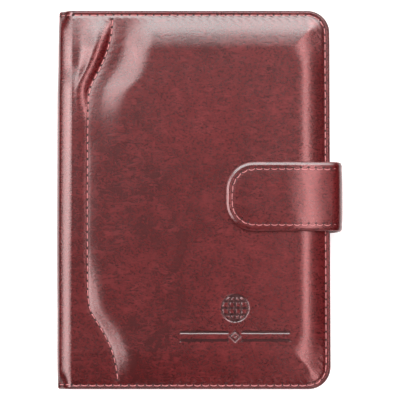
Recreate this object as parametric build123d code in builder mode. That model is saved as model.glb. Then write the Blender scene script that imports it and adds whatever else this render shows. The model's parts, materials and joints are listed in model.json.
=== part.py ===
"""Bi-fold passport holder in padded burgundy leather, closed by a magnetic wrap-round strap.

It lies on its back cover: +Z out of the front cover, +X from the spine to the fore-edge,
+Y up the page. The origin is the middle of the closed covers, on the back cover's outer face.
Every size is in millimetres.
"""
import os
from math import atan2, degrees

from build123d import *

os.makedirs("parts", exist_ok=True)

# Whole holder, closed
cover_h = 142.0          # along the spine
closed_w = 102.6         # back of the spine to the fore-edge
closed_t = 15.0          # outer face to outer face of the covers
corner_r = 8.3           # fore-edge corners

# Spine and the fold lines beside it
spine_bulge = 6.0        # how far the rounded spine stands out of the fold lines
hinge_gap = 0.3          # slit between the cover and spine pieces at a fold
fold_land = 1.2          # board and lining stop this far short of the cover's fold edge

# Layers of a cover, outside to inside
leather_t = 0.9
pad_t = 1.8
board_t = 0.8
lining_t = 0.4
panel_t = 0.5            # card slots and passport sleeve
turn_in = 1.0            # leather turned round the edge of the board
lining_inset = 0.6

# Padding: flat sewn rim, then a slope up to the crown
rim_w = 2.8
slope_w = 9.0
rim_r = corner_r - rim_w
crown_r = 4.0

# Sewn seam down the spine side of the front cover
seam_from_fold = 5.7     # straight middle stretch
seam_corner_in = 30.0    # its ends, in from the upper and lower edges
seam_bend_in = 16.0
seam_top_bend = 12.9     # bends and ends, out from the fold line
seam_low_bend = 14.3
seam_top_end = 15.0
seam_low_end = 17.2
seam_land = 1.0          # flat valley floor each side of the thread
seam_slope_w = 7.0       # slope up to the main crown
hinge_slope_w = 2.0      # slope up to the narrow spine-side pad

# Sewing
stitch_pitch = 3.0
stitch_len = 2.3
thread_w = 0.5
thread_t = 0.35
thread_sink = 0.05       # top of the thread below the leather
groove_w = 0.9
groove_d = 0.45
edge_stitch_inset = 1.8
spine_stitch_inset = 1.6

# Wrap-round strap
strap_w = 26.0
strap_y = 0.8            # middle of the strap
strap_leather_t = 1.0
strap_lining_t = 0.7
strap_over = 39.3        # reach over the front cover, in from the fore-edge
strap_free_r = 10.8
strap_clear = 0.3        # over the front cover
strap_edge_clear = 0.4   # fold line beyond the fore-edge
strap_drop = 1.8         # fall from the crown to the fore-edge, following the padding
strap_reach = 4.5        # how far the bend stands out of its fold lines
strap_stitch_inset = 2.4
strap_lining_inset = 0.5
tail_len = 30.0
tail_clear = 0.04
tail_r = 2.0

# Magnet in the strap, steel disc under the cover leather
magnet_r = 6.0
magnet_t = 0.8
magnet_in_lining = 0.3
magnet_from_end = 13.0
catch_r = 8.0
catch_t = 0.5

# Inside pockets
slot_heights = (97.0, 79.0, 61.0)   # of the three card slots, first under second
slot_side_inset = 1.6
sleeve_w = 46.0
notch_r = 9.0            # thumb notch in the sleeve's open edge

# Blind-tooled ornament on the front cover
motif_in = 35.7          # middle of the ornament, in from the fore-edge
globe_up = 30.2          # middle of the globe, up from the lower edge
globe_r = 5.0
rule_up = 19.7
rule_len = 41.0
rule_gap = 3.6
tool_w = 0.6
tool_d = 0.25

# Derived places
x_fore = closed_w / 2
x_hinge = -closed_w / 2 + spine_bulge
cover_x0 = x_hinge + hinge_gap
y_edge = cover_h / 2

seam_x = x_hinge + seam_from_fold
seam_corner_y = y_edge - seam_corner_in
seam_bend_y = y_edge - seam_bend_in
slot_tops = [height - y_edge for height in slot_heights]
motif_x = x_fore - motif_in
globe_y = globe_up - y_edge
rule_y = rule_up - y_edge

back_rim = pad_t
back_board_z = back_rim + leather_t
back_lining_z = back_board_z + board_t
back_inner = back_lining_z + lining_t

front_rim = closed_t - pad_t
front_board_top = front_rim - leather_t
front_lining_top = front_board_top - board_t
front_inner = front_lining_top - lining_t

strap_free_x = x_fore - strap_over
strap_z = closed_t + strap_clear
strap_top = strap_z + strap_lining_t + strap_leather_t
strap_x = x_fore + strap_edge_clear
strap_end_x = strap_x - hinge_gap
strap_fold_z = strap_top - strap_drop
strap_bow_x = x_fore - rim_w - slope_w   # where the strap starts to fall
magnet_x = strap_free_x + magnet_from_end


def cover_face(level, inset, fold_inset=0.0):
    """Cover outline: square at the fold, round at the two fore-edge corners."""
    left, right = cover_x0 + fold_inset, x_fore - inset
    with BuildSketch(Plane.XY.offset(level)) as face:
        with Locations(((left + right) / 2, 0)):
            Rectangle(right - left, cover_h - 2 * inset)
        fillet(face.vertices().group_by(Axis.X)[-1], corner_r - inset)
    return face.sketch


def outline_face(level, points, fore_r):
    """Closed outline through points, its two fore-edge corners rounded."""
    with BuildSketch(Plane.XY.offset(level)) as face:
        Polygon(*points, align=None)
        fillet(face.vertices().group_by(Axis.X)[-1], fore_r)
    return face.sketch


def back_pad_face(level, slope, fore_r):
    right, top = x_fore - rim_w - slope, y_edge - rim_w - slope
    return outline_face(level, [(cover_x0, top), (right, top), (right, -top), (cover_x0, -top)], fore_r)


def seam_points(shift, top):
    """The seam's bends, moved sideways by shift and ending at height top."""
    return [
        (x_hinge + seam_top_end + shift, top), (x_hinge + seam_top_bend + shift, seam_bend_y),
        (seam_x + shift, seam_corner_y), (seam_x + shift, -seam_corner_y),
        (x_hinge + seam_low_bend + shift, -seam_bend_y), (x_hinge + seam_low_end + shift, -top),
    ]


def main_pad_face(level, slope, seam_slope, fore_r):
    right, top = x_fore - rim_w - slope, y_edge - rim_w - slope
    points = [(right, -top), (right, top)] + seam_points(seam_land + seam_slope, top)
    return outline_face(level, points, fore_r)


def fold_pad_face(level, slope):
    top = y_edge - rim_w - slope
    with BuildSketch(Plane.XY.offset(level)) as face:
        points = [(cover_x0, -top), (cover_x0, top)] + seam_points(-seam_land - slope, top)
        Polygon(*points, align=None)
    return face.sketch


def tail_face(level, grow):
    """Strap tail sewn to the back cover; its outer end stops at the fold line."""
    left, right = x_fore - tail_len - grow, strap_end_x + grow
    with BuildSketch(Plane.XY.offset(level)) as face:
        with Locations(((left + right) / 2, strap_y)):
            Rectangle(right - left, strap_w + 2 * grow)
        fillet(face.vertices().group_by(Axis.X)[0], tail_r + grow)
    return face.sketch


def flap_face(level, inset):
    left = strap_free_x + inset
    with BuildSketch(Plane.XY.offset(level)) as face:
        with Locations(((left + strap_end_x) / 2, strap_y)):
            Rectangle(strap_end_x - left, strap_w - 2 * inset)
        fillet(face.vertices().group_by(Axis.X)[0], strap_free_r - inset)
    return face.sketch


def flap_band(upper, lower):
    """Side outline of a layer of the flap between two depths below its top face."""
    run = [(strap_free_x, strap_top), (strap_bow_x, strap_top), (strap_end_x, strap_fold_z)]
    top = [(x, z - upper) for x, z in run]
    underside = [(x, z - lower) for x, z in reversed(run)]
    with BuildSketch(Plane.XZ.offset(-strap_y)) as face:
        Polygon(*top, *underside, align=None)
    return face.sketch


def disc_face(level, x, y, radius):
    with BuildSketch(Plane.XY.offset(level)) as face:
        with Locations((x, y)):
            Circle(radius)
    return face.sketch


def spine_face(inset, at_y=0.0):
    """Rounded side outline of the spine, inset evenly from its outer face."""
    left = x_hinge - spine_bulge + inset
    with BuildSketch(Plane.XZ.offset(-at_y)) as face:
        with Locations(((left + x_hinge) / 2, closed_t / 2)):
            Rectangle(x_hinge - left, closed_t - 2 * inset)
        fillet(face.vertices().group_by(Axis.X)[0], spine_bulge - inset - 0.1)
    return face.sketch


def bend_face(inset, at_y=strap_y):
    """Rounded side outline of the strap's bend, inset evenly from its outer face."""
    right = strap_x + strap_reach - inset
    with BuildSketch(Plane.XZ.offset(-at_y)) as face:
        with Locations(((strap_x + right) / 2, strap_fold_z / 2)):
            Rectangle(right - strap_x, strap_fold_z - 2 * inset)
        fillet(face.vertices().group_by(Axis.X)[-1], strap_reach - inset - 0.1)
    return face.sketch


def path_through(points, radius):
    with BuildLine() as path:
        FilletPolyline(*points, radius=radius)
    return Wire(path.line.edges())


def groove_face(level, path):
    with BuildSketch(Plane.XY.offset(level)) as face:
        trace(path, groove_w)
    return face.sketch


def stitch_spots(path, level):
    """Evenly spaced places along a path, each turned to lie along it."""
    count = round(path.length / stitch_pitch)
    spots = []
    for step in range(count):
        share = (step + 0.5) / count
        place, along = path @ share, path % share
        turn = degrees(atan2(along.Y, along.X))
        spots.append(Location((place.X, place.Y, level), (0, 0, turn)))
    return spots


# Sewing lines
edge_x = x_fore - edge_stitch_inset
edge_y = y_edge - edge_stitch_inset
edge_path = path_through(
    [(cover_x0 + hinge_gap, edge_y), (edge_x, edge_y), (edge_x, -edge_y), (cover_x0 + hinge_gap, -edge_y)],
    corner_r - edge_stitch_inset,
)
seam_path = path_through(seam_points(0, edge_y - stitch_pitch), 5.0)
half_row = strap_w / 2 - strap_stitch_inset
row_x = strap_free_x + strap_stitch_inset
flap_path = path_through(
    [(strap_end_x, strap_y + half_row), (row_x, strap_y + half_row),
     (row_x, strap_y - half_row), (strap_end_x, strap_y - half_row)],
    strap_free_r - strap_stitch_inset,
)
tail_row_x = x_fore - tail_len + strap_stitch_inset
tail_path = path_through(
    [(strap_end_x, strap_y + half_row), (tail_row_x, strap_y + half_row),
     (tail_row_x, strap_y - half_row), (strap_end_x, strap_y - half_row)],
    1.0,
)
slot_left = cover_x0 + fold_land + slot_side_inset
slot_path = path_through(
    [(slot_left, slot_tops[0] - stitch_pitch), (slot_left, -edge_y), (edge_x, -edge_y),
     (edge_x, slot_tops[0] - stitch_pitch)],
    corner_r - edge_stitch_inset,
)
sleeve_path = path_through(
    [(x_fore - sleeve_w + stitch_pitch, edge_y), (edge_x, edge_y), (edge_x, -edge_y),
     (x_fore - sleeve_w + stitch_pitch, -edge_y)],
    corner_r - edge_stitch_inset,
)


# Back cover ---------------------------------------------------------------------------------
with BuildPart() as back_foam_pad:
    loft([back_pad_face(back_board_z, 0, rim_r), back_pad_face(leather_t, slope_w, crown_r)], ruled=True)
    extrude(tail_face(0, leather_t), amount=strap_leather_t + leather_t, mode=Mode.SUBTRACT)

with BuildPart() as back_cover_leather:
    extrude(cover_face(back_rim, 0), amount=leather_t)
    loft([back_pad_face(back_rim, 0, rim_r), back_pad_face(0, slope_w, crown_r)], ruled=True)
    add(back_foam_pad.part, mode=Mode.SUBTRACT)
    extrude(cover_face(back_board_z, 0), amount=board_t)
    extrude(cover_face(back_board_z, turn_in), amount=board_t, mode=Mode.SUBTRACT)
    extrude(tail_face(0, tail_clear), amount=strap_leather_t + tail_clear, mode=Mode.SUBTRACT)
    extrude(groove_face(back_rim, edge_path), amount=groove_d, mode=Mode.SUBTRACT)

with BuildPart() as back_stiffener_board:
    extrude(cover_face(back_board_z, turn_in, fold_land), amount=board_t)

with BuildPart() as back_lining:
    extrude(cover_face(back_lining_z, lining_inset, fold_land), amount=lining_t)

with BuildPart() as back_edge_stitching:
    with Locations(*stitch_spots(edge_path, back_rim + thread_sink + thread_t / 2)):
        Box(stitch_len, thread_w, thread_t)

slot_nodes = []
for tier, slot_top in enumerate(slot_tops):
    slot_z = back_inner + tier * panel_t
    with BuildPart() as slot:
        extrude(cover_face(slot_z, lining_inset, fold_land), amount=panel_t)
        with Locations((0, slot_top + cover_h, slot_z)):
            Box(2 * closed_w, 2 * cover_h, 4 * panel_t, mode=Mode.SUBTRACT)
    slot_nodes.append(slot)

with BuildPart() as card_slot_stitching:
    for spot in stitch_spots(slot_path, 0):
        layers = sum(1 for slot_top in slot_tops if spot.position.Y < slot_top - stitch_len / 2)
        with Locations(Location((0, 0, back_inner + layers * panel_t + thread_t / 2)) * spot):
            Box(stitch_len, thread_w, thread_t)

with BuildPart() as strap_tail:
    extrude(tail_face(tail_clear / 2, 0), amount=strap_leather_t - tail_clear / 2)
    extrude(groove_face(0, tail_path), amount=groove_d, mode=Mode.SUBTRACT)

with BuildPart() as strap_tail_stitching:
    with Locations(*stitch_spots(tail_path, thread_sink + thread_t / 2)):
        Box(stitch_len, thread_w, thread_t)

# Spine --------------------------------------------------------------------------------------
stiffener_t = 0.5
spine_lining_inset = leather_t + stiffener_t
spine_rows = [side * (y_edge - spine_stitch_inset) for side in (1, -1)]
spine_gaps = [closed_t / 2 + stitch_pitch * (step + 0.5) for step in (-2, -1, 0, 1)]

with BuildPart() as spine_leather:
    extrude(spine_face(0), amount=y_edge, both=True)
    extrude(spine_face(leather_t), amount=y_edge, both=True, mode=Mode.SUBTRACT)
    for row_y in spine_rows:
        extrude(spine_face(0, row_y) - spine_face(groove_d, row_y), amount=groove_w / 2, both=True,
                mode=Mode.SUBTRACT)

with BuildPart() as spine_stiffener:
    extrude(spine_face(leather_t), amount=y_edge - 2 * spine_stitch_inset, both=True)
    extrude(spine_face(spine_lining_inset), amount=y_edge, both=True, mode=Mode.SUBTRACT)

with BuildPart() as spine_lining:
    extrude(spine_face(spine_lining_inset), amount=y_edge - lining_inset, both=True)
    extrude(spine_face(spine_lining_inset + lining_t), amount=y_edge, both=True, mode=Mode.SUBTRACT)

with BuildPart() as spine_stitching:
    for row_y in spine_rows:
        ring = spine_face(thread_sink, row_y) - spine_face(thread_sink + thread_t, row_y)
        extrude(ring, amount=thread_w / 2, both=True)
    with Locations(*[(x_hinge - spine_bulge / 2, 0, gap_z) for gap_z in spine_gaps]):
        Box(2 * spine_bulge, cover_h, stitch_pitch - stitch_len, mode=Mode.SUBTRACT)

# Front cover --------------------------------------------------------------------------------
with BuildPart() as front_catch_disc:
    extrude(disc_face(closed_t - leather_t, magnet_x, strap_y, catch_r), amount=-catch_t)

with BuildPart() as front_foam_pad:
    loft([main_pad_face(front_board_top, 0, 0, rim_r),
          main_pad_face(closed_t - leather_t, slope_w, seam_slope_w, crown_r)], ruled=True)
    add(front_catch_disc.part, mode=Mode.SUBTRACT)

with BuildPart() as front_fold_pad:
    loft([fold_pad_face(front_board_top, 0), fold_pad_face(closed_t - leather_t, hinge_slope_w)],
         ruled=True)

with BuildPart() as front_cover_leather:
    extrude(cover_face(front_board_top, 0), amount=leather_t)
    loft([main_pad_face(front_rim, 0, 0, rim_r),
          main_pad_face(closed_t, slope_w, seam_slope_w, crown_r)], ruled=True)
    loft([fold_pad_face(front_rim, 0), fold_pad_face(closed_t, hinge_slope_w)], ruled=True)
    add(front_foam_pad.part, mode=Mode.SUBTRACT)
    add(front_fold_pad.part, mode=Mode.SUBTRACT)
    add(front_catch_disc.part, mode=Mode.SUBTRACT)
    extrude(cover_face(front_lining_top, 0), amount=board_t)
    extrude(cover_face(front_lining_top, turn_in), amount=board_t, mode=Mode.SUBTRACT)
    for path in (edge_path, seam_path):
        extrude(groove_face(front_rim, path), amount=-groove_d, mode=Mode.SUBTRACT)
    # Blind-tooled globe over a broken double rule with a lozenge
    with BuildSketch(Plane.XY.offset(closed_t)) as motif:
        with Locations((motif_x, globe_y)):
            Circle(globe_r)
            Circle(globe_r - tool_w, mode=Mode.SUBTRACT)
            Ellipse(globe_r / 2, globe_r)
            Ellipse(globe_r / 2 - tool_w, globe_r - tool_w / 2, mode=Mode.SUBTRACT)
            with GridLocations(0, globe_r / 2, 1, 3):
                Rectangle(1.7 * globe_r, tool_w)
        for side in (1, -1):
            with Locations((motif_x + side * (rule_len + rule_gap) / 4, rule_y)):
                with GridLocations(0, 2 * tool_w, 1, 2):
                    Rectangle((rule_len - rule_gap) / 2 - tool_w, tool_w / 2)
        with Locations((motif_x, rule_y)):
            RegularPolygon(rule_gap / 3, 4)
    extrude(motif.sketch, amount=-tool_d, mode=Mode.SUBTRACT)

with BuildPart() as front_stiffener_board:
    extrude(cover_face(front_lining_top, turn_in, fold_land), amount=board_t)

with BuildPart() as front_lining:
    extrude(cover_face(front_inner, lining_inset, fold_land), amount=lining_t)

with BuildPart() as front_edge_stitching:
    with Locations(*stitch_spots(edge_path, front_rim - thread_sink - thread_t / 2)):
        Box(stitch_len, thread_w, thread_t)

with BuildPart() as front_seam_stitching:
    with Locations(*stitch_spots(seam_path, front_rim - thread_sink - thread_t / 2)):
        Box(stitch_len, thread_w, thread_t)

with BuildPart() as passport_sleeve:
    extrude(cover_face(front_inner - panel_t, lining_inset, closed_w - spine_bulge - hinge_gap - sleeve_w),
            amount=panel_t)
    extrude(disc_face(front_inner - panel_t, x_fore - sleeve_w, 0, notch_r), amount=panel_t,
            mode=Mode.SUBTRACT)

with BuildPart() as passport_sleeve_stitching:
    with Locations(*stitch_spots(sleeve_path, front_inner - panel_t - thread_t / 2)):
        Box(stitch_len, thread_w, thread_t)

# Strap bend round the fore-edge -------------------------------------------------------------
strap_half = strap_w / 2
strap_rows = [strap_y + side * half_row for side in (1, -1)]
strap_gaps = [strap_fold_z / 2 + stitch_pitch * (step + 0.5) for step in (-3, -2, -1, 0, 1, 2)]
strap_t = strap_leather_t + strap_lining_t

with BuildPart() as strap_bend_leather:
    extrude(bend_face(0), amount=strap_half, both=True)
    extrude(bend_face(strap_leather_t), amount=strap_half, both=True, mode=Mode.SUBTRACT)
    for row_y in strap_rows:
        extrude(bend_face(0, row_y) - bend_face(groove_d, row_y), amount=groove_w / 2, both=True,
                mode=Mode.SUBTRACT)

with BuildPart() as strap_bend_lining:
    extrude(bend_face(strap_leather_t), amount=strap_half - strap_lining_inset, both=True)
    extrude(bend_face(strap_t), amount=strap_half, both=True, mode=Mode.SUBTRACT)

with BuildPart() as strap_bend_stitching:
    for row_y in strap_rows:
        ring = bend_face(thread_sink, row_y) - bend_face(thread_sink + thread_t, row_y)
        extrude(ring, amount=thread_w / 2, both=True)
    with Locations(*[(strap_x + strap_reach / 2, strap_y, gap_z) for gap_z in strap_gaps]):
        Box(2 * strap_reach, strap_w, stitch_pitch - stitch_len, mode=Mode.SUBTRACT)

# Strap flap over the front cover ------------------------------------------------------------
magnet_z = strap_z + strap_lining_t - magnet_in_lining

with BuildPart() as strap_magnet:
    extrude(disc_face(magnet_z, magnet_x, strap_y, magnet_r), amount=magnet_t)

with BuildPart() as strap_flap_lining:
    extrude(flap_band(strap_leather_t, strap_t), amount=strap_half - strap_lining_inset, both=True)
    extrude(flap_face(0, strap_lining_inset), amount=2 * closed_t, mode=Mode.INTERSECT)
    add(strap_magnet.part, mode=Mode.SUBTRACT)

with BuildPart() as flap_groove:
    extrude(groove_face(0, flap_path), amount=2 * closed_t)
    extrude(flap_band(0, groove_d), amount=strap_half, both=True, mode=Mode.INTERSECT)

with BuildPart() as strap_flap_leather:
    extrude(flap_band(0, strap_leather_t), amount=strap_half, both=True)
    extrude(flap_face(0, 0), amount=2 * closed_t, mode=Mode.INTERSECT)
    add(flap_groove.part, mode=Mode.SUBTRACT)
    add(strap_magnet.part, mode=Mode.SUBTRACT)

with BuildPart() as strap_flap_stitching:
    with Locations(*stitch_spots(flap_path, strap_top)):
        Box(stitch_len, thread_w, closed_t)
    extrude(flap_band(thread_sink, thread_sink + thread_t), amount=strap_half, both=True,
            mode=Mode.INTERSECT)

nodes = {
    "back_cover_leather": back_cover_leather,
    "back_foam_pad": back_foam_pad,
    "back_stiffener_board": back_stiffener_board,
    "back_lining": back_lining,
    "back_edge_stitching": back_edge_stitching,
    "card_slot_upper": slot_nodes[0],
    "card_slot_middle": slot_nodes[1],
    "card_slot_lower": slot_nodes[2],
    "card_slot_stitching": card_slot_stitching,
    "strap_tail": strap_tail,
    "strap_tail_stitching": strap_tail_stitching,
    "spine_leather": spine_leather,
    "spine_stiffener": spine_stiffener,
    "spine_lining": spine_lining,
    "spine_stitching": spine_stitching,
    "front_cover_leather": front_cover_leather,
    "front_foam_pad": front_foam_pad,
    "front_fold_pad": front_fold_pad,
    "front_catch_disc": front_catch_disc,
    "front_stiffener_board": front_stiffener_board,
    "front_lining": front_lining,
    "front_edge_stitching": front_edge_stitching,
    "front_seam_stitching": front_seam_stitching,
    "passport_sleeve": passport_sleeve,
    "passport_sleeve_stitching": passport_sleeve_stitching,
    "strap_bend_leather": strap_bend_leather,
    "strap_bend_lining": strap_bend_lining,
    "strap_bend_stitching": strap_bend_stitching,
    "strap_flap_leather": strap_flap_leather,
    "strap_flap_lining": strap_flap_lining,
    "strap_flap_stitching": strap_flap_stitching,
    "strap_magnet": strap_magnet,
}
for label, node in nodes.items():
    node.part.label = label
    export_step(node.part, f"parts/{label}.step")
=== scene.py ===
"""Padded burgundy passport holder, closed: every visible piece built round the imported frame."""
import json
import math
import random

import bmesh
import bpy
import numpy as np
from mathutils import Vector, noise
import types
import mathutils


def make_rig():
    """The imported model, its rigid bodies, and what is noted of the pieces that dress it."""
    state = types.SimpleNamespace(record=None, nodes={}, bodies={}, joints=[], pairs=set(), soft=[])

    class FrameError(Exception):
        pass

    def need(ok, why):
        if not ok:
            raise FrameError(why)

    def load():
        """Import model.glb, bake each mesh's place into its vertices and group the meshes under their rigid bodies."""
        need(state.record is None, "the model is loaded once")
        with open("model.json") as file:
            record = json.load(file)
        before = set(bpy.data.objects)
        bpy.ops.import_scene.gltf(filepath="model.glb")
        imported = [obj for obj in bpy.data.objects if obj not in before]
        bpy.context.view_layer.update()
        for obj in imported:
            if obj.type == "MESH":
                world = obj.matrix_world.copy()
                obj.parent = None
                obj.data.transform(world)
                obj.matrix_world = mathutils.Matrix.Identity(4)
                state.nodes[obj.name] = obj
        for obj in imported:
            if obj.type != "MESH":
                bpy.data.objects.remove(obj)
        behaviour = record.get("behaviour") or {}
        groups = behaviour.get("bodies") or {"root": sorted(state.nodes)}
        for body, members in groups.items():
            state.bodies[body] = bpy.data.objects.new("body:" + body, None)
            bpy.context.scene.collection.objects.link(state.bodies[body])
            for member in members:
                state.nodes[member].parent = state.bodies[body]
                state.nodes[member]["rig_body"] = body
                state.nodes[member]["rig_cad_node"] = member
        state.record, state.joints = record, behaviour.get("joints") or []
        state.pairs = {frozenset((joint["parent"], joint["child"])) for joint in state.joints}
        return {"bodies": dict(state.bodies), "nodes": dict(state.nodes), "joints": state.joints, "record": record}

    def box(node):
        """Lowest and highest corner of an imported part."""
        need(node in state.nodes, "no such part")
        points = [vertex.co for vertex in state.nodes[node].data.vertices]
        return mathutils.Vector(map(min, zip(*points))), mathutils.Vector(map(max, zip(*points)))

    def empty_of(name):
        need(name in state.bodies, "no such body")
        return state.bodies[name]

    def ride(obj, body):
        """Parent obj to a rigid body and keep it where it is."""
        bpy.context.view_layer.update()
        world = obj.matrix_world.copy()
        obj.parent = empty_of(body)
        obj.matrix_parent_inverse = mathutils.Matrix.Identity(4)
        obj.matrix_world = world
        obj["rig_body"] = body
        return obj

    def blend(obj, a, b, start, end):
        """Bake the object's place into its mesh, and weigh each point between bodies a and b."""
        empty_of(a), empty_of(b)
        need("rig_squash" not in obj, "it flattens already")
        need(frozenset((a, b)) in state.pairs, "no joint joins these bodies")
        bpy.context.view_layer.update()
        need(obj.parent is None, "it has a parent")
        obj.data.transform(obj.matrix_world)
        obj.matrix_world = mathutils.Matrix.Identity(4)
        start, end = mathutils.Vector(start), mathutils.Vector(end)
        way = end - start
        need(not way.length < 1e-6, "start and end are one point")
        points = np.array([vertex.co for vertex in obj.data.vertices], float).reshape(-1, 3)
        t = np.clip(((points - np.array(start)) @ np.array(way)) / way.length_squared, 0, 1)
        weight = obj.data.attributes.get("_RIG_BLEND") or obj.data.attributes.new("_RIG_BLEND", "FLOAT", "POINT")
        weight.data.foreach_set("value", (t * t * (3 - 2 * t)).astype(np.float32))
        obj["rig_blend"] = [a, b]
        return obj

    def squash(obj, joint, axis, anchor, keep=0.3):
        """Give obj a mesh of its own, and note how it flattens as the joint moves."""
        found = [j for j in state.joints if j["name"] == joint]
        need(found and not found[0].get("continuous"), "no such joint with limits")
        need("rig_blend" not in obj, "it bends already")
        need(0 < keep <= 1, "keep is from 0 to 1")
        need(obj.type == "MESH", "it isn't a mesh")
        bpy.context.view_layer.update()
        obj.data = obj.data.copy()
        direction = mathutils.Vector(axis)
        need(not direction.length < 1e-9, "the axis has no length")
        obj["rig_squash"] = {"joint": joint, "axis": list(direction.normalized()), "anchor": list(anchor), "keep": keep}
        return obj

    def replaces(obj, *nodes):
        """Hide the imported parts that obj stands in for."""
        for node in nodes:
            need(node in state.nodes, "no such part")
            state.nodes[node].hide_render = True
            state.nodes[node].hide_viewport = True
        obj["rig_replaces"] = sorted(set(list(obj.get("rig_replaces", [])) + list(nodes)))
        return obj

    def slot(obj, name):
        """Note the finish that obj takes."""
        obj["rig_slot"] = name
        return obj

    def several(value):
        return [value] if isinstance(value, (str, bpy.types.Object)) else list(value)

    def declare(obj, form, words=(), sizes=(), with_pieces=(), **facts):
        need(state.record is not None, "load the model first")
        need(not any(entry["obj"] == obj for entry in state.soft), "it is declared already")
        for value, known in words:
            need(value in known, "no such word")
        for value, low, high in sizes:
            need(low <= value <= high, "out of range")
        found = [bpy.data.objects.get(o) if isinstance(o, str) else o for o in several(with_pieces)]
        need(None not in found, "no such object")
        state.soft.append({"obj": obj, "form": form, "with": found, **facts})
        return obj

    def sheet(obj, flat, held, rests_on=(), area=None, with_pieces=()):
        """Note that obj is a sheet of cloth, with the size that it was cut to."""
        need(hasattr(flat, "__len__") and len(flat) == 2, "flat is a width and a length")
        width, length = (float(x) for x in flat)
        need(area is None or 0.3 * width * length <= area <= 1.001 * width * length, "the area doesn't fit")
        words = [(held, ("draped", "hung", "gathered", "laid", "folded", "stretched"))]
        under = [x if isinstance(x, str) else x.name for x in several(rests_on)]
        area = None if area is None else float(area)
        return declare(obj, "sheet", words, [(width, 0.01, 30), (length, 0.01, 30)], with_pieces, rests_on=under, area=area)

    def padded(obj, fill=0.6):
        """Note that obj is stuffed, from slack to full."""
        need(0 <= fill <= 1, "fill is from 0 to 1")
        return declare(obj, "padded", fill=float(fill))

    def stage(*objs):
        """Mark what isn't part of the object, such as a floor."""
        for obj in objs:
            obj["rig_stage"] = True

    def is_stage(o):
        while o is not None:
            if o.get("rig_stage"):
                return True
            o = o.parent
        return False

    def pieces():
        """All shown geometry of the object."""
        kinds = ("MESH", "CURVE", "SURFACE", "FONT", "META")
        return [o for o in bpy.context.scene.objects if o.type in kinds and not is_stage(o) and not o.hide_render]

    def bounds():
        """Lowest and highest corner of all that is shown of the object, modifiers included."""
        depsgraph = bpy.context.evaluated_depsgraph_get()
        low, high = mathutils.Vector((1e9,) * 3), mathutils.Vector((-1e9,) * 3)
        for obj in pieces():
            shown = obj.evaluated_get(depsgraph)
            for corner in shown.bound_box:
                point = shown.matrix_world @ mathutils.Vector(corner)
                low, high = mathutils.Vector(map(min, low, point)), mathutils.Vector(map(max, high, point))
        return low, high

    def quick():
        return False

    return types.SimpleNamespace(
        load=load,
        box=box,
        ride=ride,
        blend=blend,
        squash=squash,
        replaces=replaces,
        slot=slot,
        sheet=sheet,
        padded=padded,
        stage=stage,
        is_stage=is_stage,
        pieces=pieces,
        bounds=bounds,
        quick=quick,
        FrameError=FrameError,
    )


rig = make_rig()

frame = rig.load()
cad_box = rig.bounds()
MM = 0.001
RNG = random.Random(7)


# Places and sizes from the frame, in millimetres -----------
def box_mm(node):
    low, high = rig.box(node)
    return np.array(low) / MM, np.array(high) / MM


FRONT_LO, FRONT_HI = box_mm("front_cover_leather")
BACK_LO, BACK_HI = box_mm("back_cover_leather")
SPINE_LO, SPINE_HI = box_mm("spine_leather")
FLAP_LO, FLAP_HI = box_mm("strap_flap_leather")
BEND_LO, BEND_HI = box_mm("strap_bend_leather")
TAIL_LO, TAIL_HI = box_mm("strap_tail")

HINGE_X = SPINE_HI[0]
FORE_X = FRONT_HI[0]
EDGE_Y = FRONT_HI[1]
TOP_Z = FRONT_HI[2]
RIM_Z = box_mm("front_edge_stitching")[1][2] + 0.05
PAD_RISE = TOP_Z - RIM_Z
LINING_TOP_Z = FRONT_LO[2]
LINING_LOW_Z = BACK_HI[2]
CORNER_R = 8.4
EDGE_R = 0.85            # rounding of the turned edge
STITCH_IN = 1.75         # sewing line, in from the edge
STITCH_PITCH = 3.0
STRAP_Y = (FLAP_LO[1] + FLAP_HI[1]) / 2
STRAP_HALF = (FLAP_HI[1] - FLAP_LO[1]) / 2
STRAP_FOLD_X = BEND_LO[0]
STRAP_FOLD_Z = BEND_HI[2]
GRID = 1.0 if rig.quick() else 0.45
FINE = 0.4 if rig.quick() else 0.19


# Small mathematics -----------------------------------------
def clamp01(t):
    return np.clip(t, 0.0, 1.0)


def ease(t):
    t = clamp01(t)
    return t * t * (3 - 2 * t)


def swell(t, power=2.0):
    """0 at the sewn line, 1 on the crown, steep at first like leather over foam."""
    return 1 - (1 - clamp01(t)) ** power


def bell(x, width):
    return np.exp(-((x / width) ** 2))


def hermite(a, b, ta, tb, t):
    """Curve from a to b that leaves along ta and arrives along tb."""
    t = t[:, None]
    return ((2 * t**3 - 3 * t**2 + 1) * a + (t**3 - 2 * t**2 + t) * ta
            + (3 * t**2 - 2 * t**3) * b + (t**3 - t**2) * tb)


def field(points, scale, seed, octaves=3):
    """Smooth noise, about -1 to 1, at points given in millimetres."""
    shift = Vector((seed * 17.3, seed * 5.1, seed * 9.7))
    flat = points.reshape(-1, points.shape[-1])
    out = np.array([noise.fractal(Vector(p) / scale + shift, 1.0, 2.0, octaves) for p in flat])
    return out.reshape(points.shape[:-1])


# Seam on the front cover: straight in the middle, swept to the fore-edge side at both ends
SEAM_X = HINGE_X + 5.75
SEAM_CORNER_Y, SEAM_EASE = 42.0, 3.0
SEAM_TOP_REACH, SEAM_LOW_REACH = 9.3, 11.4
SEAM_SWEEP = 2.12


def seam_x(y):
    """Where the seam runs at each y."""
    past = np.abs(y) - SEAM_CORNER_Y
    t = clamp01((past + np.hypot(past, SEAM_EASE)) / 2 / (EDGE_Y - 2 - SEAM_CORNER_Y))
    reach = np.where(y > 0, SEAM_TOP_REACH, SEAM_LOW_REACH)
    return SEAM_X + reach * (1 - (1 - t) ** SEAM_SWEEP)


def seam_distance(x, y):
    """Signed: negative on the spine side."""
    step = 0.5
    lean = (seam_x(y + step) - seam_x(y - step)) / (2 * step)
    return (x - seam_x(y)) / np.sqrt(1 + lean**2)


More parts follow.
